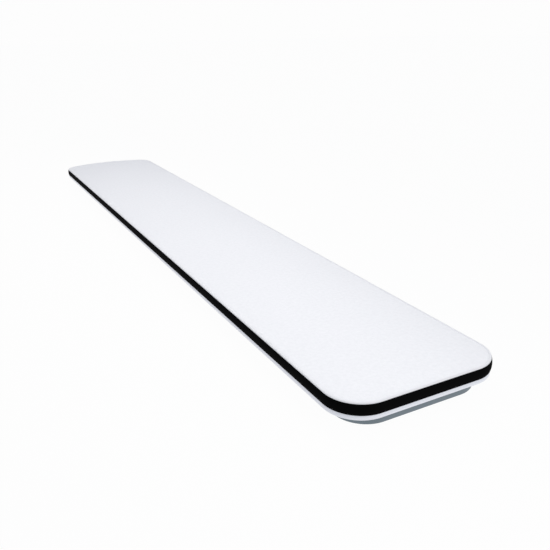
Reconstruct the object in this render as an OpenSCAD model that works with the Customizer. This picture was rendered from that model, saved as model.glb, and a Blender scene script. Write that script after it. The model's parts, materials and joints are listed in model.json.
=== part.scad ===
// Springboard for a swimming pool: a moulded glass-fibre sandwich board with a white deck, an inset
// non-slip tread, a black rubber bumper band round its edge and a shallow slate-grey keel pan below.
// The board lies along Y with its diving tip at -Y. Z is up and z = 0 is the flat underside of the keel.

/* [Board] */
// Overall length over the bumper band
board_l = 3000; // [2400:50:3600]
// Overall width over the bumper band
board_w = 500; // [440:10:560]
// Corner radius at the diving tip, at the edge line
tip_r = 99; // [70:1:130]
// Corner radius at the rear end, at the edge line
rear_r = 80; // [50:1:110]
// Radius of the long bow of the rear end, at the edge line
bow_r = 537; // [460:1:700]

/* [Heights] */
// Depth of the keel pan
keel_d = 36; // [35:1:60]
// Height of the white lower shell's edge
shell_h = 13.5; // [8:0.5:20]
// Rounding of the lower shell's bottom edge
shell_r = 2.5; // [1:0.5:5]
// Height of the black bumper band
band_h = 30; // [20:1:45]
// Height of the deck above the bumper band
deck_h = 4; // [3:0.5:8]

/* [Bumper band] */
// How far the band bulges past the edge line at mid-height
band_bulge = 2; // [0:0.5:5]
// Thickness of the band behind the edge line
band_t = 10; // [8:1:14]
// Depth of the tongue that keys the band into the core
tongue_d = 10; // [6:1:12]
// Height of that tongue
tongue_h = 10; // [6:1:14]
// Gap of the butt joint where the band's two ends meet
joint_gap = 0.4; // [0.2:0.1:1]

/* [Deck and tread] */
// Width of the raised smooth rim round the tread
rim_w = 7; // [4:0.5:20]
// Width of the groove between rim and tread
groove_w = 1.2; // [0.5:0.1:3]
// Depth of the recess that holds the tread
recess_d = 1.4; // [1:0.1:2.5]
// Thickness of the non-slip tread layer
tread_t = 1.2; // [0.6:0.1:2]
// Radius of the deck's rolled outer edge
roll_r = 2.6; // [1:0.2:2.8]

/* [Keel] */
// Inset of the keel's bottom edge from the edge line, along the sides
keel_in_side = 39; // [20:1:45]
// Inset of the keel's bottom edge from the edge line, at both ends
keel_in_end = 25.5; // [15:0.5:45]
// Corner radius of the keel at the tip
keel_r = 88; // [50:1:110]
// Corner radius of the keel at the rear
keel_rear_r = 63.8; // [40:0.1:100]
// How far the keel's sides slope outwards from bottom to top
keel_draft = 6; // [0:1:12]
// Fillet of the keel's bottom edge
keel_fillet = 4; // [1:0.5:4]
// Skin thickness of the keel pan and the lower shell
skin_t = 3; // [3:0.5:5]

/* [Core] */
// Thickness of each glass-cloth laminate
glass_t = 1.5; // [1:0.5:3]
// Width of the two edge rails
rail_w = 32; // [26:1:40]
// Width of each inner stringer
stringer_w = 30; // [20:1:40]
// Distance of the inner stringers from the centre line
stringer_x = 95; // [85:1:105]
// Length of the solid block at the tip
tip_block_l = 140; // [130:5:200]
// Length of the solid block at the rear
rear_block_l = 250; // [190:5:330]

/* [Keel core] */
// Width of each keel beam
beam_w = 40; // [30:1:44]
// Distance of the keel beams from the centre line
beam_x = 135; // [125:1:135]
// Length of the keel's nose block
nose_l = 130; // [115:5:180]
// Length of the anchor blocks at the rear of the keel
anchor_l = 330; // [330:5:360]
// Length of the hardwood block over the fulcrum
fulcrum_l = 300; // [200:10:400]
// Distance of the fulcrum line from the rear end
fulcrum_from_rear = 1000; // [800:10:1200]

/* [Anchor] */
// Hole spacing across the board
anchor_dx = 200; // [160:5:210]
// Hole spacing along the board
anchor_dy = 180; // [120:5:190]
// Distance from the rear end to the nearer pair of holes
anchor_from_rear = 100; // [90:5:120]
// Radius of the tapped bore, the minor radius of an M12 thread
bore_r = 5.1; // [4:0.05:7]
// Depth of the tapped bore
bore_l = 28; // [20:1:29]
// Outer radius of each insert
insert_r = 9; // [8:0.5:11]
// Flange radius of each insert
flange_r = 14; // [12:0.5:18]
// Thickness of the steel anchor plate
plate_t = 6; // [4:0.5:6]

/* [Hidden] */
$fn = 96;

// edge line: the plan outline of the band's top and bottom corners
ew = board_w / 2 - band_bulge;
ey = board_l / 2 - band_bulge;

// levels
z_keel = keel_d;                    // underside of the lower shell
z_band = keel_d + shell_h;          // underside of the band
z_deck = z_band + band_h;           // top of the band
z_top = z_deck + deck_h;            // top of the rim
z_core0 = z_keel + skin_t + glass_t;
z_core1 = z_deck - 2 - glass_t;     // the deck's spigot is 2 deep
z_tongue = z_band + band_h / 2 - tongue_h / 2;

// centre of the rear end's bow, which every inset outline shares
y_bow = ey - bow_r;

// core outline
cw = ew - band_t;
cy = ey - band_t;

// keel outline: the bottom edge
kw = ew - keel_in_side;
ky = ey - keel_in_end;
// keel core outline
kcw = kw - skin_t;
kcy = ky - skin_t;

y_tip = -cy + tip_block_l;
y_rear = cy - rear_block_l;
y_nose = -kcy + nose_l;
y_anchor = kcy - anchor_l;
y_fulcrum = board_l / 2 - fulcrum_from_rear;
y_hole = board_l / 2 - anchor_from_rear - anchor_dy / 2;

z_plate = 24;                       // underside of the anchor plate
flange_t = 4;

// ---------- outlines and sweeps ----------

// the plan outline: half width hw, from -hy to hy, radius r0 at the tip's corners and r1 at the rear's.
// Between its corners the tip is straight and the rear is bowed.

// how far ahead of the bow's centre a rear corner's centre lies, so that its arc runs smoothly into the bow
function rear_dy(hw, hy, r1) = sqrt(pow(hy - y_bow - r1, 2) - pow(hw - r1, 2));

// plan of the wedge that holds the bow: its sides pass through the bow's centre and the two corners' centres
module bow_wedge(hw, hy, r1) {
  dx = 2 * (hw - r1);
  dy = 2 * rear_dy(hw, hy, r1);
  polygon([[0, y_bow], [dx, y_bow + dy], [-dx, y_bow + dy]]);
}

// a flat plate of that outline
module plate(hw, hy, r0, r1, z0, z1) {
  yc = y_bow + rear_dy(hw, hy, r1);
  translate([0, 0, z0]) linear_extrude(z1 - z0) union() {
    translate([-hw, -hy + r0]) square([2 * hw, yc + hy - r0]);
    translate([-hw + r0, -hy]) square([2 * hw - 2 * r0, r0]);
    intersection() {
      translate([0, y_bow]) circle(hy - y_bow, $fn = 360);
      bow_wedge(hw, hy, r1);
    }
    for (s = [-1, 1]) {
      translate([s * (hw - r0), -hy + r0]) circle(r0);
      translate([s * (hw - r1), yc]) circle(r1);
    }
  }
}

// sweeps a section round the same outline; the section's x is the distance outwards from the line, its y is height
module sweep(hw, hy, r0, r1) {
  yc = y_bow + rear_dy(hw, hy, r1);
  for (s = [0, 1]) mirror([s, 0, 0]) {
    translate([hw, yc, 0]) rotate([90, 0, 0]) linear_extrude(yc + hy - r0) children();
    translate([hw - r0, -hy + r0, 0]) rotate([0, 0, -90]) rotate_extrude(angle = 90) translate([r0, 0]) children();
    difference() {
      translate([hw - r1, yc, 0]) rotate_extrude(angle = 90) translate([r1, 0]) children();
      translate([0, 0, -50]) linear_extrude(250) bow_wedge(hw, hy, r1);
    }
  }
  intersection() {
    translate([0, y_bow, 0]) rotate_extrude(angle = 180, $fn = 360) translate([hy - y_bow, 0]) children();
    translate([0, 0, -50]) linear_extrude(250) bow_wedge(hw, hy, r1);
  }
  translate([-hw + r0, -hy, 0]) rotate([90, 0, 90]) mirror([1, 0, 0]) linear_extrude(2 * hw - 2 * r0) children();
}

function arc(cx, cz, r, a0, a1, n) =
  [for (i = [0:n]) [cx + r * cos(a0 + (a1 - a0) * i / n), cz + r * sin(a0 + (a1 - a0) * i / n)]];

// the part of a plate between two lengthwise stations
module plate_between(hw, hy, r0, r1, z0, z1, ya, yb) {
  intersection() {
    plate(hw, hy, r0, r1, z0, z1);
    translate([-hw - 5, ya, z0 - 5]) cube([2 * hw + 10, yb - ya, z1 - z0 + 10]);
  }
}

module bar(x0, x1, y0, y1, z0, z1) {
  translate([x0, y0, z0]) cube([x1 - x0, y1 - y0, z1 - z0]);
}

// ---------- visible mouldings ----------

// white top moulding: floor under the tread, raised rim with a rolled outer edge, spigot inside the band
module deck_shell() {
  u1 = -1;                  // outer edge, just inside the edge line
  u0 = u1 - rim_w;          // inner edge of the rim
  color("white") union() {
    plate(cw, cy, tip_r - band_t, rear_r - band_t, z_deck - 2, z_deck);
    plate(ew + u0 - 1, ey + u0 - 1, tip_r + u0 - 1, rear_r + u0 - 1, z_deck, z_top - recess_d);
    sweep(ew, ey, tip_r, rear_r)
      polygon(concat(
        [[u0 - 1, z_deck], [u1, z_deck]],
        arc(u1 - roll_r, z_top - roll_r, roll_r, 0, 90, 6),
        arc(u0 + 0.8, z_top - 0.8, 0.8, 90, 180, 3),
        [[u0, z_top - recess_d], [u0 - 1, z_top - recess_d]]
      ));
  }
}

// non-slip grit layer bonded in the recess
module tread() {
  d = 1 + rim_w + groove_w;
  color("whitesmoke") plate(ew - d, ey - d, tip_r - d, rear_r - d, z_top - recess_d, z_top - recess_d + tread_t);
}

module band_section() {
  n = 6;
  polygon(concat(
    [[-band_t, z_band]],
    [for (i = [0:n]) let (t = -1 + 2 * i / n) [band_bulge * (1 - t * t), z_band + band_h / 2 * (1 + t)]],
    [[-band_t, z_deck],
     [-band_t, z_tongue + tongue_h], [-band_t - tongue_d, z_tongue + tongue_h],
     [-band_t - tongue_d, z_tongue], [-band_t, z_tongue]]
  ));
}

module splice_bar(g) {
  bar(-45 - g, 45 + g, ey - band_t - tongue_d + 2, ey - band_t - 2, 
      z_tongue + 0.3 * tongue_h, z_tongue + 0.7 * tongue_h);
}

// black rubber extrusion wrapped round the edge, its ends butted at the middle of the rear
module edge_band() {
  color([0.06, 0.06, 0.065]) difference() {
    sweep(ew, ey, tip_r, rear_r) band_section();
    bar(-joint_gap / 2, joint_gap / 2, ey - band_t - tongue_d - 5, ey + 10, z_band - 5, z_deck + 5);
    splice_bar(0);
  }
}

// joining key inside the tongue, across the butt joint
module band_splice() {
  color("dimgray") splice_bar(0);
}

// white bottom moulding: a shallow tray whose rim carries the band
module lower_shell() {
  color("gainsboro") union() {
    plate(cw, cy, tip_r - band_t, rear_r - band_t, z_keel, z_keel + skin_t);
    sweep(ew, ey, tip_r, rear_r)
      polygon(concat(
        [[-band_t, z_keel]],
        arc(-1 - shell_r, z_keel + shell_r, shell_r, -90, 0, 6),
        [[-1, z_band], [-band_t, z_band]]
      ));
  }
}

module hole_positions() {
  for (sx = [-1, 1], sy = [-1, 1]) translate([sx * anchor_dx / 2, y_hole + sy * anchor_dy / 2, 0]) children();
}

// slate-grey pan bonded under the lower shell, with drafted sides and a filleted bottom edge
module keel_pan() {
  u0 = -keel_fillet - 2;    // where the flat floor ends
  color("slategray") difference() {
    union() {
      plate(kw + u0, ky + u0, keel_r + u0, keel_rear_r + u0, 0, skin_t);
      sweep(kw, ky, keel_r, keel_rear_r)
        polygon(concat(
          [[u0, 0]],
          arc(-keel_fillet, keel_fillet, keel_fillet, -90, -10, 6),
          [[keel_draft, z_keel], [-skin_t, z_keel], [-skin_t, skin_t], [u0, skin_t]]
        ));
    }
    hole_positions() translate([0, 0, -5]) cylinder(r = insert_r, h = 20);
  }
}

// ---------- laminates ----------

module laminate_upper() {
  color("palegoldenrod") plate(cw, cy, tip_r - band_t, rear_r - band_t, z_core1, z_core1 + glass_t);
}

module laminate_lower() {
  color("palegoldenrod") plate(cw, cy, tip_r - band_t, rear_r - band_t, z_core0 - glass_t, z_core0);
}

// ---------- board core ----------

// edge rail with the groove for the band's tongue
module rail(s) {
  color("burlywood") difference() {
    bar(min(s * cw, s * (cw - rail_w)), max(s * cw, s * (cw - rail_w)), y_tip, y_rear, z_core0, z_core1);
    bar(min(s * (cw + 5), s * (cw - tongue_d)), max(s * (cw + 5), s * (cw - tongue_d)), y_tip - 5, y_rear + 5,
        z_tongue, z_tongue + tongue_h);
  }
}

module rail_left() { rail(-1); }
module rail_right() { rail(1); }

module stringer(x) {
  color("burlywood") bar(x - stringer_w / 2, x + stringer_w / 2, y_tip, y_rear, z_core0, z_core1);
}

module stringer_left() { stringer(-stringer_x); }
module stringer_centre() { stringer(0); }
module stringer_right() { stringer(stringer_x); }

module end_block(ya, yb) {
  r0 = tip_r - band_t;
  r1 = rear_r - band_t;
  color("tan") union() {
    plate_between(cw, cy, r0, r1, z_core0, z_tongue, ya, yb);
    plate_between(cw - tongue_d, cy - tongue_d, r0 - tongue_d, r1 - tongue_d, z_tongue, z_tongue + tongue_h, ya, yb);
    plate_between(cw, cy, r0, r1, z_tongue + tongue_h, z_core1, ya, yb);
  }
}

module tip_block() { end_block(-cy - 5, y_tip); }
module rear_block() { end_block(y_rear, cy + 5); }

module core_foam(x0, x1) {
  color("khaki") bar(x0, x1, y_tip, y_rear, z_core0, z_core1);
}

foam_o0 = cw - rail_w;
foam_o1 = stringer_x + stringer_w / 2;
foam_i0 = stringer_x - stringer_w / 2;
foam_i1 = stringer_w / 2;

module foam_left_outer() { core_foam(-foam_o0, -foam_o1); }
module foam_left_inner() { core_foam(-foam_i0, -foam_i1); }
module foam_right_inner() { core_foam(foam_i1, foam_i0); }
module foam_right_outer() { core_foam(foam_o1, foam_o0); }

// ---------- keel core ----------

module keel_beam(s) {
  color("burlywood") bar(s * beam_x - beam_w / 2, s * beam_x + beam_w / 2, y_nose, y_anchor, skin_t, z_keel);
}

module keel_beam_left() { keel_beam(-1); }
module keel_beam_right() { keel_beam(1); }

module keel_nose_block() {
  color("tan") plate_between(kcw, kcy, keel_r - skin_t, keel_rear_r - skin_t, skin_t, z_keel, -kcy - 5, y_nose);
}

module keel_foam(x0, x1) {
  color("khaki") bar(x0, x1, y_nose, y_anchor, skin_t, z_keel);
}

module keel_foam_left() { keel_foam(-kcw, -beam_x - beam_w / 2); }
module keel_foam_right() { keel_foam(beam_x + beam_w / 2, kcw); }

// the middle bay, in two lengths either side of the fulcrum block
module keel_foam_centre() {
  x = beam_x - beam_w / 2;
  color("khaki") {
    bar(-x, x, y_nose, y_fulcrum - fulcrum_l / 2, skin_t, z_keel);
    bar(-x, x, y_fulcrum + fulcrum_l / 2, y_anchor, skin_t, z_keel);
  }
}

// hardwood that takes the crushing load over the fulcrum
module fulcrum_block() {
  x = beam_x - beam_w / 2;
  color("sienna") bar(-x, x, y_fulcrum - fulcrum_l / 2, y_fulcrum + fulcrum_l / 2, skin_t, z_keel);
}

module anchor_wood(z0, z1) {
  plate_between(kcw, kcy, keel_r - skin_t, keel_rear_r - skin_t, z0, z1, y_anchor, kcy + 5);
}

module anchor_block() {
  color("sienna") difference() {
    anchor_wood(skin_t, z_plate);
    hole_positions() cylinder(r = insert_r, h = 60);
  }
}

module anchor_cap() {
  color("sienna") difference() {
    anchor_wood(z_plate, z_keel);
    plate_body();
    hole_positions() cylinder(r = flange_r, h = z_plate + plate_t + flange_t);
  }
}

module plate_body() {
  bar(-anchor_dx / 2 - 30, anchor_dx / 2 + 30, y_hole - anchor_dy / 2 - 30, y_hole + anchor_dy / 2 + 30,
      z_plate, z_plate + plate_t);
}

// steel plate that spreads the bolts' pull
module anchor_plate() {
  color("silver") difference() {
    plate_body();
    hole_positions() cylinder(r = insert_r, h = 60);
  }
}

// four flanged inserts, tapped blind from below, their flanges above the plate
module anchor_inserts() {
  color("gold") hole_positions() difference() {
    union() {
      cylinder(r = insert_r, h = z_plate + plate_t + flange_t);
      translate([0, 0, z_plate + plate_t]) cylinder(r = flange_r, h = flange_t);
    }
    translate([0, 0, -5]) cylinder(r = bore_r, h = bore_l + 5);
  }
}

deck_shell();
tread();
edge_band();
band_splice();
lower_shell();
keel_pan();
laminate_upper();
laminate_lower();
rail_left();
rail_right();
stringer_left();
stringer_centre();
stringer_right();
tip_block();
rear_block();
foam_left_outer();
foam_left_inner();
foam_right_inner();
foam_right_outer();
keel_beam_left();
keel_beam_right();
keel_nose_block();
keel_foam_left();
keel_foam_centre();
keel_foam_right();
fulcrum_block();
anchor_block();
anchor_cap();
anchor_plate();
anchor_inserts();
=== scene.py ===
import json
import math

import bpy
from mathutils import Matrix, Vector, noise


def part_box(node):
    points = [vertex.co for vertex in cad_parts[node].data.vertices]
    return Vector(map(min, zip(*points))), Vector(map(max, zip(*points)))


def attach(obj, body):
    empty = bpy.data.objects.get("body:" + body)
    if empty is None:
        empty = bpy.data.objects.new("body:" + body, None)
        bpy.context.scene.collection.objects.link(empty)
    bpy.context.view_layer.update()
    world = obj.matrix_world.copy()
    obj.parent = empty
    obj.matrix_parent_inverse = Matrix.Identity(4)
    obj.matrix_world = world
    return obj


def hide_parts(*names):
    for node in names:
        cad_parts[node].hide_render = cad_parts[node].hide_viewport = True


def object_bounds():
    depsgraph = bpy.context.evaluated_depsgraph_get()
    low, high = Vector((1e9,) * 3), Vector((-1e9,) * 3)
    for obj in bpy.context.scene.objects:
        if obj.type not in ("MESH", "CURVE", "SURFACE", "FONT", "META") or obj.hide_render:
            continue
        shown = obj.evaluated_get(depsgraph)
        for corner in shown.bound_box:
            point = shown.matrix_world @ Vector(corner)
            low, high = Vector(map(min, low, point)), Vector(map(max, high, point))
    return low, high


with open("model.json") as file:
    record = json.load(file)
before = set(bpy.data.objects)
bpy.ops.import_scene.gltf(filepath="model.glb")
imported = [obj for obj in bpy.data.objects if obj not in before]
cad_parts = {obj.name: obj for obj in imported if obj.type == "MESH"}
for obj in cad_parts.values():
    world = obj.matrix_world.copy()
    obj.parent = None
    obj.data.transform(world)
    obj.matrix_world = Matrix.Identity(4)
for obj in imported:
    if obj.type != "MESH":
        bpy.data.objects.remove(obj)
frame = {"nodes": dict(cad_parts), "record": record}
scene = bpy.context.scene


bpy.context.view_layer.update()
noise.seed_set(7)

# ------------------------------------------------------------------ sizes, from the frame
lo_all, hi_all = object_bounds()
lo_b, hi_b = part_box("edge_band")
lo_d, hi_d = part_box("deck_shell")
lo_t, hi_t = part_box("tread")
lo_s, hi_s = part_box("lower_shell")
lo_k, hi_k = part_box("keel_pan")

MM = 0.001
BULGE = 2 * MM
EW = hi_b.x - BULGE          # edge line, half width
EY = hi_b.y - BULGE          # edge line, half length
TIP_R, REAR_R = 99 * MM, 80 * MM
Y_BOW = EY - 537 * MM        # centre of the long bow of the rear end, shared by every inset outline
Z_BAND, Z_DECK, Z_TOP = lo_b.z, hi_b.z, hi_d.z
Z_KEEL = lo_s.z
TREAD_IN = EW - hi_t.x       # inset of the tread from the edge line
Z_TREAD = hi_t.z
KW = EW - 39 * MM            # keel's bottom edge line
KY = EY - 25.5 * MM
KEEL_R, KEEL_REAR_R = 88 * MM, 63.8 * MM
KEEL_DRAFT = hi_k.x - KW     # how far its sides lean out at the top

# ------------------------------------------------------------------ camera
FOCAL_PX = 642.606
AZ, EL, ROLL = math.radians(-28.1575), math.radians(21.5576), math.radians(-0.5731)
fwd = Vector((-math.sin(AZ) * math.cos(EL), math.cos(AZ) * math.cos(EL), -math.sin(EL)))
right0 = fwd.cross(Vector((0, 0, 1))).normalized()
up0 = right0.cross(fwd)
right = right0 * math.cos(ROLL) + up0 * math.sin(ROLL)
up = up0 * math.cos(ROLL) - right0 * math.sin(ROLL)
cam_data = bpy.data.cameras.new("camera")
cam_data.sensor_width = 36.0
cam_data.lens = 36.0 * FOCAL_PX / 550.0
cam_data.clip_start = 0.05
cam_data.clip_end = 200.0
cam = bpy.data.objects.new("camera", cam_data)
cam.matrix_world = Matrix((
    (right.x, up.x, -fwd.x, -0.95101),
    (right.y, up.y, -fwd.y, -2.48402),
    (right.z, up.z, -fwd.z, 0.88406),
    (0, 0, 0, 1),
))
scene.collection.objects.link(cam)
scene.camera = cam
scene.view_settings.view_transform = "Standard"
scene.view_settings.look = "None"
scene.view_settings.exposure = 0.0
scene.view_settings.gamma = 1.0


# ------------------------------------------------------------------ mesh helpers
def outline(hw, hy, r0, r1, step=0.045, arc_deg=2.25):
    """Points of the rounded plan outline with outward normals, starting at the middle of the rear edge and
    going round by the left side to the tip and back up the right side. Left and right mirror each other."""
    left = []

    def line(a, b, n):
        d = Vector(b) - Vector(a)
        count = max(1, int(math.ceil(d.length / step)))
        for i in range(count):
            left.append((Vector(a) + d * (i / count), Vector(n)))

    def arc(c, r, a0, a1, deg=arc_deg):
        count = max(4, int(round(abs(a1 - a0) / deg)))
        for i in range(count):
            a = math.radians(a0 + (a1 - a0) * i / count)
            n = Vector((math.cos(a), math.sin(a)))
            left.append((Vector(c) + n * r, n))

    bow = hy - Y_BOW
    dx = hw - r1
    dy = math.sqrt((bow - r1) ** 2 - dx ** 2)
    turn = math.degrees(math.atan2(dy, dx))
    arc((0, Y_BOW), bow, 90, 180 - turn, 1.2)
    arc((-dx, Y_BOW + dy), r1, 180 - turn, 180)
    line((-hw, Y_BOW + dy), (-hw, -hy + r0), (-1, 0))
    arc((-(hw - r0), -hy + r0), r0, 180, 270)
    line((-(hw - r0), -hy), (0, -hy), (0, -1))
    left.append((Vector((0, -hy)), Vector((0, -1))))
    pts = list(left)
    for p, n in reversed(left[1:-1]):
        pts.append((Vector((-p.x, p.y)), Vector((-n.x, n.y))))
    return pts


def make(name, verts, faces, smooth=True):
    mesh = bpy.data.meshes.new(name)
    mesh.from_pydata([tuple(v) for v in verts], [], faces)
    mesh.validate()
    mesh.update()
    if smooth:
        mesh.polygons.foreach_set("use_smooth", [True] * len(mesh.polygons))
    obj = bpy.data.objects.new(name, mesh)
    scene.collection.objects.link(obj)
    return obj


def sharp_by_angle(obj, degrees):
    """Marks edges sharper than the angle, so smooth shading breaks there."""
    mesh = obj.data
    import bmesh
    bm = bmesh.new()
    bm.from_mesh(mesh)
    bmesh.ops.recalc_face_normals(bm, faces=bm.faces)
    limit = math.radians(degrees)
    for e in bm.edges:
        if len(e.link_faces) == 2 and e.calc_face_angle(0.0) > limit:
            e.smooth = False
    bm.to_mesh(mesh)
    bm.free()


def swept(name, pts, section, cap_start=None, cap_end=None, closed=False):
    """A section [(u outwards, z), ...] swept round the outline. cap_start and cap_end fill the first and last
    loop with strips across the board, as number of columns. closed joins the section's last point to its first."""
    n = len(pts)
    verts, faces = [], []
    for u, z in section:
        for p, nn in pts:
            q = p + nn * u
            verts.append((q.x, q.y, z))
    m = len(section)
    rows = m if closed else m - 1
    for j in range(rows):
        a, b = j * n, ((j + 1) % m) * n
        for i in range(n):
            k = (i + 1) % n
            faces.append((a + i, a + k, b + k, b + i))

    def cap(base, z, columns, flip, relief=None):
        half = n // 2
        tip_y = verts[base + half][1]
        last = next(i for i in range(half + 1) if abs(verts[base + i][1] - tip_y) < 1e-7)
        grid = []
        for i in range(last):
            li, ri = base + i, base + (n - i) % n
            if i == 0:
                grid.append([li])
                continue
            row = [li]
            a, b = Vector(verts[li]), Vector(verts[ri])
            for c in range(1, columns):
                q = a.lerp(b, c / columns)
                if relief:
                    q.z += relief(q.x, q.y)
                verts.append(tuple(q))
                row.append(len(verts) - 1)
            row.append(ri)
            grid.append(row)
        for g0, g1 in zip(grid, grid[1:]):
            for c in range(columns):
                f = (g0[0], g1[c], g1[c + 1]) if len(g0) == 1 else (g0[c], g1[c], g1[c + 1], g0[c + 1])
                faces.append(f[::-1] if flip else f)
        # the straight tip edge: the last strip is zipped onto the outline's own points
        a, b = grid[-1], [base + i for i in range(last, n - last + 1)]
        i = j = 0
        while i < len(a) - 1 or j < len(b) - 1:
            if j == len(b) - 1 or (i < len(a) - 1 and verts[a[i + 1]][0] <= verts[b[j + 1]][0]):
                f = (a[i], b[j], a[i + 1])
                i += 1
            else:
                f = (a[i], b[j], b[j + 1])
                j += 1
            faces.append(f[::-1] if flip else f)

    if cap_start:
        cap(0, section[0][1], cap_start[0], False, cap_start[1])
    if cap_end:
        cap((m - 1) * n, section[-1][1], cap_end[0], True, cap_end[1])
    return make(name, verts, faces)


def cut(obj, cutters):
    """Takes the cutters' volume out of the piece, applied to its mesh."""
    for c in cutters:
        m = obj.modifiers.new("cut", "BOOLEAN")
        m.operation = "DIFFERENCE"
        m.solver = "EXACT"
        m.object = c
    dg = bpy.context.evaluated_depsgraph_get()
    mesh = bpy.data.meshes.new_from_object(obj.evaluated_get(dg))
    obj.modifiers.clear()
    old = obj.data
    obj.data = mesh
    bpy.data.meshes.remove(old)
    for c in cutters:
        data = c.data
        bpy.data.objects.remove(c)
        bpy.data.meshes.remove(data)


def tube(name, x, y, r, z0, z1, n=64):
    verts = [(x + r * math.cos(2 * math.pi * i / n), y + r * math.sin(2 * math.pi * i / n), z)
             for z in (z0, z1) for i in range(n)]
    faces = [(i, (i + 1) % n, n + (i + 1) % n, n + i) for i in range(n)]
    faces += [tuple(reversed(range(n))), tuple(range(n, 2 * n))]
    return make(name, verts, faces)


def arc_pts(cu, cz, r, a0, a1, n):
    return [(cu + r * math.cos(math.radians(a0 + (a1 - a0) * i / n)),
             cz + r * math.sin(math.radians(a0 + (a1 - a0) * i / n))) for i in range(n + 1)]


# ------------------------------------------------------------------ node helpers
class Nodes:
    """A small helper that builds a node tree for one material."""

    def __init__(self, name):
        self.mat = bpy.data.materials.new(name)
        self.mat.use_nodes = True
        self.tree = self.mat.node_tree
        self.tree.nodes.clear()
        self.out = self.new("ShaderNodeOutputMaterial")
        self.bsdf = self.new("ShaderNodeBsdfPrincipled")
        self.link(self.bsdf.outputs[0], self.out.inputs["Surface"])
        self.coord = self.new("ShaderNodeTexCoord").outputs["Object"]

    def new(self, kind, **kw):
        node = self.tree.nodes.new(kind)
        for k, v in kw.items():
            setattr(node, k, v)
        return node

    def link(self, a, b):
        self.tree.links.new(a, b)

    def scaled(self, x, y, z):
        m = self.new("ShaderNodeMapping")
        m.inputs["Scale"].default_value = (x, y, z)
        self.link(self.coord, m.inputs["Vector"])
        return m.outputs[0]

    def noise(self, scale, detail=2.0, rough=0.5, vector=None, distortion=0.0):
        t = self.new("ShaderNodeTexNoise")
        t.inputs["Scale"].default_value = scale
        t.inputs["Detail"].default_value = detail
        t.inputs["Roughness"].default_value = rough
        t.inputs["Distortion"].default_value = distortion
        self.link(vector or self.coord, t.inputs["Vector"])
        return t.outputs["Fac"]

    def voronoi(self, scale, feature="F1", vector=None, output="Distance", randomness=1.0):
        t = self.new("ShaderNodeTexVoronoi", feature=feature)
        t.inputs["Scale"].default_value = scale
        t.inputs["Randomness"].default_value = randomness
        self.link(vector or self.coord, t.inputs["Vector"])
        return t.outputs[output]

    def ramp(self, fac, stops, interpolation="LINEAR"):
        r = self.new("ShaderNodeValToRGB")
        r.color_ramp.interpolation = interpolation
        e = r.color_ramp.elements
        while len(e) < len(stops):
            e.new(0.5)
        for el, (pos, col) in zip(e, stops):
            el.position = pos
            el.color = (*col, 1.0) if len(col) == 3 else col
        self.link(fac, r.inputs["Fac"])
        return r.outputs["Color"]

    def remap(self, fac, a, b, c, d):
        r = self.new("ShaderNodeMapRange")
        for name, v in (("From Min", a), ("From Max", b), ("To Min", c), ("To Max", d)):
            r.inputs[name].default_value = v
        self.link(fac, r.inputs["Value"])
        return r.outputs["Result"]

    def math(self, op, a, b):
        m = self.new("ShaderNodeMath", operation=op)
        for i, v in enumerate((a, b)):
            if isinstance(v, (int, float)):
                m.inputs[i].default_value = v
            else:
                self.link(v, m.inputs[i])
        return m.outputs[0]

    def mix(self, fac, a, b, blend="MIX"):
        m = self.new("ShaderNodeMix", data_type="RGBA", blend_type=blend)
        for sock, v in ((m.inputs[0], fac), (m.inputs[6], a), (m.inputs[7], b)):
            if isinstance(v, (int, float)):
                sock.default_value = v
            elif isinstance(v, tuple):
                sock.default_value = (*v, 1.0) if len(v) == 3 else v
            else:
                self.link(v, sock)
        return m.outputs[2]

    def bump(self, height, strength, distance, normal=None):
        b = self.new("ShaderNodeBump")
        b.inputs["Strength"].default_value = strength
        b.inputs["Distance"].default_value = distance
        self.link(height, b.inputs["Height"])
        if normal is not None:
            self.link(normal, b.inputs["Normal"])
        return b.outputs["Normal"]

    def set(self, **kw):
        for k, v in kw.items():
            sock = self.bsdf.inputs[k.replace("_", " ")]
            if isinstance(v, (int, float)):
                sock.default_value = v
            elif isinstance(v, tuple):
                sock.default_value = (*v, 1.0) if len(v) == 3 else v
            else:
                self.link(v, sock)
        return self


# ------------------------------------------------------------------ materials
def gelcoat(name, colour, spread, rough, coat=0.25, peel=0.00006, gloss=0.5):
    """Moulded gelcoat: faint tone drift, orange peel, tiny polishing marks in the roughness."""
    n = Nodes(name)
    drift = n.noise(3.0, 3.0, 0.6)
    fine = n.noise(55.0, 2.0, 0.5)
    dark = tuple(c * (1 - spread) for c in colour)
    light = tuple(min(1.0, c * (1 + spread * 0.5)) for c in colour)
    col = n.ramp(drift, [(0.3, dark), (0.7, light)])
    col = n.mix(n.remap(fine, 0.3, 0.7, 0.0, 0.35), col, dark)
    r = n.remap(n.noise(22.0, 4.0, 0.65), 0.25, 0.75, rough - 0.05, rough + 0.06)
    peel_n = n.bump(n.noise(260.0, 2.0, 0.45), 0.35, peel)
    norm = n.bump(n.noise(38.0, 1.0, 0.4), 0.3, 0.00012, peel_n)
    n.set(Base_Color=col, Roughness=r, Normal=norm)
    n.set(Coat_Weight=coat, Coat_Roughness=0.18, IOR=1.5, Specular_IOR_Level=gloss)
    return n


m_deck = gelcoat("gelcoat_white", (0.76, 0.765, 0.792), 0.012, 0.36, coat=0.0, gloss=0.25)
m_shell = gelcoat("gelcoat_lower", (0.787, 0.805, 0.868), 0.015, 0.34)
m_keel = gelcoat("gelcoat_slate", (0.126, 0.167, 0.196), 0.06, 0.45, coat=0.1, peel=0.00009)

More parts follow.
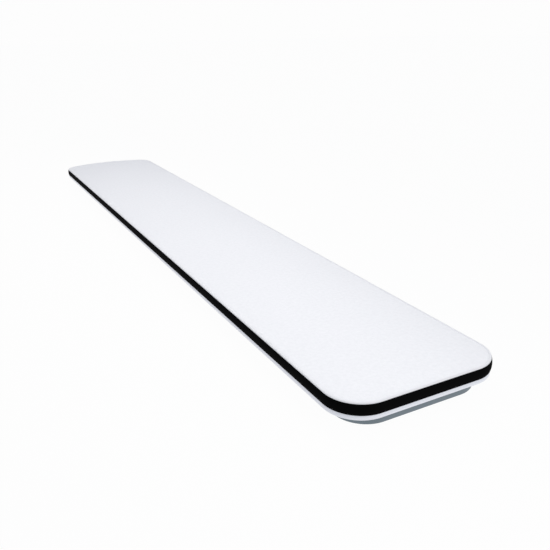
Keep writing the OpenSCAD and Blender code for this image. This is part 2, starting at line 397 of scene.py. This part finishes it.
# non-slip tread: fine grit rolled into a white topcoat
n = Nodes("tread_grit")
cells = n.voronoi(900.0)
grain = n.noise(1400.0, 3.0, 0.6)
clump = n.noise(240.0, 3.0, 0.6)
drift = n.noise(2.2, 3.0, 0.55)
mottle = n.noise(95.0, 4.0, 0.65)
base = n.ramp(drift, [(0.3, (0.854, 0.859, 0.884)), (0.7, (0.869, 0.874, 0.899))])
speck = n.ramp(cells, [(0.0, (1.0, 1.0, 1.0)), (0.45, (0.985, 0.985, 0.985)), (0.8, (0.94, 0.94, 0.945))])
col = n.mix(0.6, base, speck, "MULTIPLY")
col = n.mix(n.remap(clump, 0.35, 0.7, 0.0, 0.4), col, (0.79, 0.796, 0.822))
col = n.mix(n.remap(mottle, 0.35, 0.65, 0.0, 0.75), col, (0.785, 0.791, 0.817))
h = n.math("ADD", n.math("MULTIPLY", cells, -0.7), n.math("MULTIPLY", grain, 0.5))
norm = n.bump(h, 0.45, 0.0003)
norm = n.bump(clump, 0.35, 0.0004, norm)
n.set(Base_Color=col, Roughness=n.remap(clump, 0.2, 0.8, 0.52, 0.68), Normal=norm)
n.set(IOR=1.46, Specular_IOR_Level=0.15)
m_tread = n

# bumper band: black moulded rubber, low sheen
n = Nodes("bumper_rubber")
drift = n.noise(9.0, 4.0, 0.6)
fine = n.noise(700.0, 3.0, 0.6)
col = n.ramp(drift, [(0.3, (0.0016, 0.0016, 0.0017)), (0.7, (0.0028, 0.0028, 0.003))])
lines = n.noise(40.0, 2.0, 0.5, vector=n.scaled(1.0, 1.0, 60.0))
norm = n.bump(fine, 0.3, 0.00012)
norm = n.bump(lines, 0.15, 0.00015, norm)
n.set(Base_Color=col, Roughness=n.remap(drift, 0.2, 0.8, 0.78, 0.9), Normal=norm)
n.set(IOR=1.45, Specular_IOR_Level=0.02)
m_band = n


def fir(name, a, b, c, band=0.0):
    """Laminated softwood: growth rings stretched along the board, glue lines between the laminations."""
    n = Nodes(name)
    warp = n.noise(6.0, 2.0, 0.5, vector=n.scaled(1.0, 0.25, 1.0))
    v = n.scaled(70.0, 1.6, 40.0)
    add = n.new("ShaderNodeVectorMath", operation="ADD")
    n.link(v, add.inputs[0])
    comb = n.new("ShaderNodeCombineXYZ")
    n.link(n.math("MULTIPLY", warp, 6.0), comb.inputs[0])
    n.link(comb.outputs[0], add.inputs[1])
    rings = n.new("ShaderNodeTexWave", wave_type="BANDS", bands_direction="X")
    rings.inputs["Scale"].default_value = 1.0
    rings.inputs["Distortion"].default_value = 3.0
    rings.inputs["Detail"].default_value = 2.0
    n.link(add.outputs[0], rings.inputs["Vector"])
    fibre = n.noise(30.0, 4.0, 0.65, vector=n.scaled(30.0, 0.8, 30.0))
    col = n.ramp(rings.outputs["Fac"], [(0.0, a), (0.6, b), (1.0, c)])
    col = n.mix(n.remap(fibre, 0.3, 0.7, 0.0, 0.35), col, c)
    if band:
        sep = n.new("ShaderNodeSeparateXYZ")
        n.link(n.coord, sep.inputs[0])
        saw = n.math("FRACT", n.math("MULTIPLY", sep.outputs["Z"], 1.0 / band), 0.0)
        line = n.ramp(saw, [(0.0, (1, 1, 1)), (0.04, (1, 1, 1)), (0.06, (0, 0, 0)), (1.0, (0, 0, 0))])
        col = n.mix(line, col, (0.09, 0.045, 0.02))
    n.set(Base_Color=col, Roughness=n.remap(fibre, 0.2, 0.8, 0.5, 0.75))
    n.set(Normal=n.bump(fibre, 0.4, 0.0003))
    n.set(IOR=1.45)
    return n


m_fir = fir("fir_laminated", (0.62, 0.42, 0.22), (0.52, 0.32, 0.15), (0.36, 0.2, 0.085), 0.0066)
m_hard = fir("hardwood", (0.30, 0.16, 0.08), (0.23, 0.115, 0.055), (0.13, 0.06, 0.028))

n = Nodes("rigid_foam")
cells = n.voronoi(420.0, "SMOOTH_F1")
big = n.noise(14.0, 3.0, 0.6)
col = n.ramp(big, [(0.3, (0.66, 0.56, 0.32)), (0.7, (0.76, 0.66, 0.42))])
# the colour darkens towards each cell's centre, where the bump sinks a pit: painted shade in the foam's pores
col = n.mix(n.remap(cells, 0.0, 0.6, 0.45, 0.0), col, (0.5, 0.4, 0.2))
n.set(Base_Color=col, Roughness=n.remap(big, 0.2, 0.8, 0.78, 0.92), Normal=n.bump(cells, 0.8, 0.0006))
m_foam = n

n = Nodes("glass_laminate")
wx = n.new("ShaderNodeTexWave", wave_type="BANDS", bands_direction="X")
wy = n.new("ShaderNodeTexWave", wave_type="BANDS", bands_direction="Y")
for w in (wx, wy):
    w.inputs["Scale"].default_value = 90.0
    w.inputs["Distortion"].default_value = 0.6
    n.link(n.coord, w.inputs["Vector"])
weave = n.math("MULTIPLY", wx.outputs["Fac"], wy.outputs["Fac"])
resin = n.noise(7.0, 4.0, 0.6)
col = n.mix(weave, (0.46, 0.45, 0.27), (0.68, 0.67, 0.5))
col = n.mix(n.remap(resin, 0.35, 0.7, 0.0, 0.4), col, (0.42, 0.36, 0.16))
n.set(Base_Color=col, Roughness=n.remap(resin, 0.2, 0.8, 0.25, 0.45), Normal=n.bump(weave, 0.5, 0.0003))
n.set(Coat_Weight=0.4, Coat_Roughness=0.12)
m_glass = n

n = Nodes("galvanised_steel")
flake = n.voronoi(420.0, output="Color")
scratch = n.noise(25.0, 3.0, 0.6, vector=n.scaled(4.0, 120.0, 4.0))
col = n.mix(0.12, (0.52, 0.53, 0.54), flake, "OVERLAY")
sat = n.new("ShaderNodeHueSaturation")
sat.inputs["Saturation"].default_value = 0.08
n.link(col, sat.inputs["Color"])
n.set(Base_Color=sat.outputs[0], Metallic=1.0, Roughness=n.remap(scratch, 0.3, 0.7, 0.28, 0.45), Normal=n.bump(scratch, 0.2, 0.0001))
m_steel = n

n = Nodes("splice_plastic")
col = n.ramp(n.noise(60.0, 3.0, 0.5), [(0.3, (0.05, 0.05, 0.052)), (0.7, (0.075, 0.075, 0.078))])
n.set(Base_Color=col, Roughness=n.remap(n.noise(30.0, 2.0, 0.5), 0.2, 0.8, 0.4, 0.55), Normal=n.bump(n.noise(500.0, 2.0, 0.5), 0.3, 0.0001))
m_splice = n


def paint(obj, nodes):
    obj.data.materials.clear()
    obj.data.materials.append(nodes.mat)


# ------------------------------------------------------------------ visible mouldings
edge = outline(EW, EY, TIP_R, REAR_R)

# deck moulding: spigot, floor under the tread, raised rim with a rolled outer edge
rim_out = -1 * MM
rim_in = rim_out - 7 * MM
floor_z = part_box("tread")[0].z
section = [(-10 * MM, floor_z), (rim_in - 0.05 * MM, floor_z)]
section += [(rim_in, floor_z + 0.1 * MM)]
section += arc_pts(rim_in + 0.9 * MM, Z_TOP - 0.9 * MM, 0.9 * MM, 180, 90, 6)
section += [(rim_in + 2.4 * MM, Z_TOP)]
section += arc_pts(rim_out - 2.8 * MM, Z_TOP - 2.8 * MM, 2.8 * MM, 90, 0, 10)
section += [(rim_out, Z_DECK + 0.35 * MM)]
section += arc_pts(rim_out - 0.35 * MM, Z_DECK + 0.35 * MM, 0.35 * MM, 0, -90, 3)[1:]
section += [(-10 * MM, Z_DECK), (-10 * MM, Z_DECK - 2 * MM)]
deck = swept("deck_moulding", edge, section, cap_start=(12, None), cap_end=(12, None))
sharp_by_angle(deck, 50)
paint(deck, m_deck)
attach(deck, "root")
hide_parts("deck_shell")

# tread: grit layer with a feathered edge and the faint unevenness of a rolled coat
t_edge = outline(EW - TREAD_IN, EY - TREAD_IN, TIP_R - TREAD_IN, REAR_R - TREAD_IN, step=0.018)
tread_h = Z_TREAD - floor_z


def rolled(x, y):
    d = min(EW - TREAD_IN - abs(x), EY - TREAD_IN - abs(y))
    fade = max(0.0, min(1.0, d / 0.012))
    a = noise.noise(Vector((x * 38.0, y * 38.0, 0.0)))
    b = noise.noise(Vector((x * 9.0, y * 6.0, 4.0)))
    return fade * (0.00006 * a + 0.00007 * b) - 0.00008


section = [(-3.0 * MM, floor_z + tread_h)]
section += [(-1.6 * MM, floor_z + tread_h - 0.02 * MM), (-0.9 * MM, floor_z + tread_h - 0.10 * MM),
            (-0.4 * MM, floor_z + tread_h - 0.24 * MM), (0.2 * MM, floor_z + tread_h - 0.40 * MM),
            (0.9 * MM, floor_z + tread_h - 0.52 * MM), (1.15 * MM, floor_z + tread_h - 0.56 * MM), (1.15 * MM, floor_z)]
tread = swept("tread_grit_coat", t_edge, section, cap_start=(40, rolled), cap_end=(4, None))
sharp_by_angle(tread, 60)
paint(tread, m_tread)
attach(tread, "root")
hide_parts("tread")

# bumper band: bulged rubber extrusion with a small lip top and bottom, butt-jointed at the middle of the rear
band_h = Z_DECK - Z_BAND


def band_section():
    s = []
    lip = 0.9 * MM
    n_arc = 18
    s.append((-10 * MM, Z_BAND))
    s += arc_pts(-lip, Z_BAND + lip, lip, -90, 0, 4)
    for i in range(n_arc + 1):
        t = -1 + 2 * i / n_arc
        z = Z_BAND + band_h / 2 * (1 + t * 0.93)
        s.append((BULGE * (1 - abs(t) ** 2.2) * 0.999, z))
    s += arc_pts(-lip, Z_DECK - lip, lip, 0, 90, 4)
    s.append((-10 * MM, Z_DECK))
    zt0, zt1 = Z_BAND + band_h / 2 - 5 * MM, Z_BAND + band_h / 2 + 5 * MM
    s += [(-10 * MM, zt1), (-20 * MM, zt1), (-20 * MM, zt0), (-10 * MM, zt0)]
    return s


sec = band_section()
gap = 0.2 * MM
# an open run of the outline, so that the band has two ends
run = [(Vector((-gap, edge[0][0].y)), Vector((0, 1)))] + edge[1:] + [(Vector((gap, edge[0][0].y)), Vector((0, 1)))]
nv, ns = len(run), len(sec)
verts, faces = [], []
for u, z in sec:
    for p, nn in run:
        q = p + nn * u
        verts.append((q.x, q.y, z))
for j in range(ns):
    a, b = j * nv, ((j + 1) % ns) * nv
    for i in range(nv - 1):
        faces.append((a + i, a + i + 1, b + i + 1, b + i))
faces.append(tuple(j * nv for j in range(ns)))
faces.append(tuple(j * nv + nv - 1 for j in reversed(range(ns))))
band = make("bumper_band", verts, faces)
sharp_by_angle(band, 50)
paint(band, m_band)
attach(band, "root")
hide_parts("edge_band")

# lower moulding: shallow tray with a rounded bottom edge
s_out = -1 * MM
section = [(-10 * MM, Z_KEEL + 3 * MM), (-10 * MM, Z_BAND), (s_out - 0.4 * MM, Z_BAND)]
section += [(s_out, Z_BAND - 0.4 * MM)]
section += arc_pts(s_out - 2.5 * MM, Z_KEEL + 2.5 * MM, 2.5 * MM, 0, -90, 10)
section += [(-22 * MM, Z_KEEL)]
shell = swept("lower_moulding", edge, section, cap_start=(8, None), cap_end=(8, None))
sharp_by_angle(shell, 50)
paint(shell, m_shell)
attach(shell, "root")
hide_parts("lower_shell")

# keel pan: filleted bottom edge, sides that lean out, a small cove of bonding paste under the shell
keel_edge = outline(KW, KY, KEEL_R, KEEL_REAR_R)
fil = 4 * MM
skin = 3 * MM
lean = KEEL_DRAFT / (Z_KEEL - fil)
section = [(-fil - 2 * MM, skin), (-skin, skin), (-skin, Z_KEEL)]
cove = 2.4 * MM
section += [(KEEL_DRAFT + cove * (1 - math.sin(math.radians(a))), Z_KEEL - cove * (1 - math.cos(math.radians(a))))
            for a in (0, 15, 30, 45, 60, 75, 90)]
side_a = math.degrees(math.atan(lean))
section += [(KEEL_DRAFT * t, fil + (Z_KEEL - fil) * t) for t in (0.75, 0.5, 0.25)]
section += arc_pts(-fil, fil, fil, -side_a, -90, 12)
section += [(-fil - 2 * MM, 0.0)]
keel = swept("keel_moulding", keel_edge, section, cap_start=(8, None), cap_end=(8, None))
lo_i, hi_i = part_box("anchor_inserts")
FLANGE = 14 * MM
holes = [(sx, sy) for sx in (lo_i.x + FLANGE, hi_i.x - FLANGE) for sy in (lo_i.y + FLANGE, hi_i.y - FLANGE)]
cut(keel, [tube("cutter", x, y, 9.05 * MM, -10 * MM, 10 * MM) for x, y in holes])
sharp_by_angle(keel, 50)
paint(keel, m_keel)
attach(keel, "root")
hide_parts("keel_pan")


def insert_mesh(holes):
    """Flanged steel inserts with a real M12 x 1.75 thread cut in the blind bore."""
    per, pitch, r_in, depth, bore = 48, 1.75, 5.1, 0.9, 28.0
    rows = int(bore / pitch * 8)

    def wave(t):
        t = t % 1.0
        if t < 0.44:
            return t / 0.44
        if t < 0.56:
            return 1.0
        return (1.0 - t) / 0.44 if t < 1.0 else 0.0

    verts, faces = [], []
    for cx, cy in holes:
        base = len(verts)
        rings = []

        def ring(r, z):
            start = len(verts)
            for i in range(per):
                a = 2 * math.pi * i / per
                rr = r(i) if callable(r) else r
                verts.append((cx + rr * MM * math.cos(a), cy + rr * MM * math.sin(a), z * MM))
            rings.append(start)

        ring(0.35, bore)
        for k in range(rows, -1, -1):
            z = k * bore / rows
            if z > bore - 3.2:
                amp = 0.0
            elif z < 1.2:
                amp = max(0.0, (z - 0.3) / 0.9)
            else:
                amp = 1.0
            flare = max(0.0, 1.0 - z) * 1.0
            ring(lambda i, z=z, amp=amp, flare=flare:
                 max(r_in + depth * amp * wave(z / pitch - i / per), r_in + flare), z)
        for r, z in ((6.35, 0.0), (8.5, 0.0), (8.86, 0.14), (9.0, 0.5), (9.0, 30.0), (13.6, 30.0), (14.0, 30.4),
                     (14.0, 33.6), (13.6, 34.0), (0.35, 34.0)):
            ring(r, z)
        for a, b in zip(rings, rings[1:]):
            for i in range(per):
                k = (i + 1) % per
                faces.append((a + i, b + i, b + k, a + k))
        faces.append(tuple(rings[0] + i for i in range(per)))
        faces.append(tuple(rings[-1] + i for i in reversed(range(per))))
    return verts, faces


verts, faces = insert_mesh(holes)
inserts = make("threaded_inserts", verts, faces)
sharp_by_angle(inserts, 35)
paint(inserts, m_steel)
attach(inserts, "root")
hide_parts("anchor_inserts")

for name, node_obj in frame["nodes"].items():
    slot_name = next(s["material_slot"] for s in frame["record"]["subparts"] if s["node"] == name)
    paint(node_obj, {
        "deck_gelcoat": m_deck, "tread_grit": m_tread, "bumper_rubber": m_band, "splice_plastic": m_splice,
        "shell_gelcoat": m_shell, "keel_gelcoat": m_keel, "glass_laminate": m_glass, "fir": m_fir,
        "hardwood": m_hard, "foam": m_foam, "steel": m_steel,
    }[slot_name])

# ------------------------------------------------------------------ studio
HORIZON, LEFT = 0.982, 0.72
ZENITH = (0.455, 0.4745, 0.53)
FLOOR_GLOW, FLOOR_DIFFUSE = 0.968, 0.02
KEY_W, KEY_COLOUR = 21.4, (1.0, 0.98, 0.928)
floor_mat = bpy.data.materials.new("stage_floor")
floor_mat.use_nodes = True
ft = floor_mat.node_tree
ft.nodes.clear()
fo = ft.nodes.new("ShaderNodeOutputMaterial")
fa = ft.nodes.new("ShaderNodeAddShader")
fe = ft.nodes.new("ShaderNodeEmission")
fd = ft.nodes.new("ShaderNodeBsdfDiffuse")
fe.inputs["Color"].default_value = (1.0, 1.0, 1.0, 1.0)
fe.inputs["Strength"].default_value = FLOOR_GLOW
fd.inputs["Color"].default_value = (FLOOR_DIFFUSE, FLOOR_DIFFUSE, FLOOR_DIFFUSE, 1.0)
ft.links.new(fe.outputs[0], fa.inputs[0])
ft.links.new(fd.outputs[0], fa.inputs[1])
ft.links.new(fa.outputs[0], fo.inputs["Surface"])
floor = make("stage_floor", [(-30, -30, 0), (30, -30, 0), (30, 30, 0), (-30, 30, 0)], [(0, 1, 2, 3)], smooth=False)
floor.data.materials.append(floor_mat)

# the room: a plain white backdrop; its light is white at the horizon, greyer to the left, and dimmer and a
# little cooler overhead
world = bpy.data.worlds.new("studio")
scene.world = world
world.use_nodes = True
wt = world.node_tree
bg = wt.nodes["Background"]
wc = wt.nodes.new("ShaderNodeTexCoord")
ws = wt.nodes.new("ShaderNodeSeparateXYZ")
wr = wt.nodes.new("ShaderNodeValToRGB")
wt.links.new(wc.outputs["Generated"], ws.inputs[0])
wt.links.new(ws.outputs["Z"], wr.inputs["Fac"])
els = wr.color_ramp.elements
els[0].position, els[0].color = 0.12, (0.0, 0.0, 0.0, 1.0)
els[1].position, els[1].color = 0.60, (1.0, 1.0, 1.0, 1.0)
wx = wt.nodes.new("ShaderNodeMapRange")
wx.inputs["From Min"].default_value, wx.inputs["From Max"].default_value = -0.9, 0.0
wx.inputs["To Min"].default_value, wx.inputs["To Max"].default_value = 0.0, 1.0
wt.links.new(ws.outputs["X"], wx.inputs["Value"])
wl = wt.nodes.new("ShaderNodeMix")
wl.data_type = "RGBA"
wl.inputs[6].default_value = (LEFT, LEFT, LEFT, 1.0)
wl.inputs[7].default_value = (HORIZON, HORIZON, HORIZON, 1.0)
wt.links.new(wx.outputs["Result"], wl.inputs[0])
wm = wt.nodes.new("ShaderNodeMix")
wm.data_type = "RGBA"
wt.links.new(wr.outputs["Color"], wm.inputs[0])
wt.links.new(wl.outputs[2], wm.inputs[6])
wm.inputs[7].default_value = (*ZENITH, 1.0)
wv = wt.nodes.new("ShaderNodeMix")
wv.data_type = "RGBA"
wt.links.new(wt.nodes.new("ShaderNodeLightPath").outputs["Is Camera Ray"], wv.inputs[0])
wt.links.new(wm.outputs[2], wv.inputs[6])
wv.inputs[7].default_value = (HORIZON, HORIZON, HORIZON, 1.0)
wt.links.new(wv.outputs[2], bg.inputs["Color"])
bg.inputs["Strength"].default_value = 1.0


def area(name, loc, aim, yaw, size, energy, colour=(1, 1, 1)):
    """A softbox that faces along aim, its long side turned by yaw from the board's length."""
    d = bpy.data.lights.new(name, "AREA")
    d.shape = "RECTANGLE"
    d.size, d.size_y = size
    d.energy = energy
    d.color = colour
    z = -Vector(aim).normalized()
    x = Vector((math.cos(yaw), math.sin(yaw), 0.0))
    x = (x - z * x.dot(z)).normalized()
    y = z.cross(x)
    o = bpy.data.objects.new(name, d)
    o.matrix_world = Matrix(((x.x, y.x, z.x, loc[0]), (x.y, y.y, z.y, loc[1]), (x.z, y.z, z.z, loc[2]), (0, 0, 0, 1)))
    scene.collection.objects.link(o)
    return o


area("key", (0.089, -0.34, 1.2), (-0.6, 0.114, -1.0), -0.047, (0.8, 4.5), KEY_W, KEY_COLOUR)
